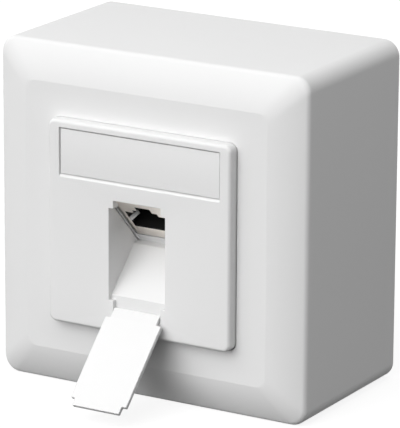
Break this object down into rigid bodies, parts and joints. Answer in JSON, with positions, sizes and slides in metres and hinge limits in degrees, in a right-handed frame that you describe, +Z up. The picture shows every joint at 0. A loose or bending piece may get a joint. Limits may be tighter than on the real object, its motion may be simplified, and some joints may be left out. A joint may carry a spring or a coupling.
{
  "type": "surface mount jack box",
  "caption": "Square wall box for one shielded network socket, with a label field and a hinged dust flap over a sloping port.",
  "frame": {"origin": "centre of the back, on the wall plane", "axes": "+X to the right, +Y into the wall, +Z up; the port and the flap are on the -Y side"},
  "size_m": [0.08, 0.0655, 0.08],
  "materials": {
    "housing_plastic": "fine-grained satin white, moulded",
    "plate_plastic": "satin white, moulded",
    "cover_plastic": "satin white, moulded",
    "flap_plastic": "satin white, moulded",
    "holder_plastic": "plain moulded",
    "base_plastic": "plain moulded",
    "label_paper": "plain paper",
    "black_plastic": "matt black",
    "board_laminate": "lacquered",
    "zinc_plated_steel": "zinc plated",
    "screw_steel": "zinc plated",
    "spring_steel": "bright",
    "nickel_casting": "nickel-plated casting, warm grey",
    "contact_gold": "gold plated",
    "contact_tin": "tin plated"
  },
  "bodies": {
    "outlet": {"surface_housing": "housing_plastic", "base_plate": "base_plastic", "carrier_frame": "zinc_plated_steel", "carrier_screws": "screw_steel", "centre_plate": "plate_plastic", "plate_screws": "screw_steel", "label_strip": "label_paper", "label_cover": "cover_plastic", "module_holder": "holder_plastic", "holder_screws": "screw_steel", "jack_housing": "nickel_casting", "contact_insert": "black_plastic", "contact_wires": "contact_gold", "shield_spring_left": "spring_steel", "shield_spring_right": "spring_steel", "circuit_board": "board_laminate", "terminal_block_lower": "black_plastic", "terminal_block_upper": "black_plastic", "idc_contacts": "contact_tin", "rear_cap": "nickel_casting", "cable_clamp": "nickel_casting", "clamp_screws": "screw_steel"},
    "flap": {"dust_flap": "flap_plastic"}
  },
  "joints": [
    {"name": "flap_hinge", "type": "hinge", "parent": "outlet", "child": "flap", "pos_m": [-0.00033, -0.04739, -0.01844], "axis": [-1, 0, 0], "range_deg": [0, 135]}
  ]
}
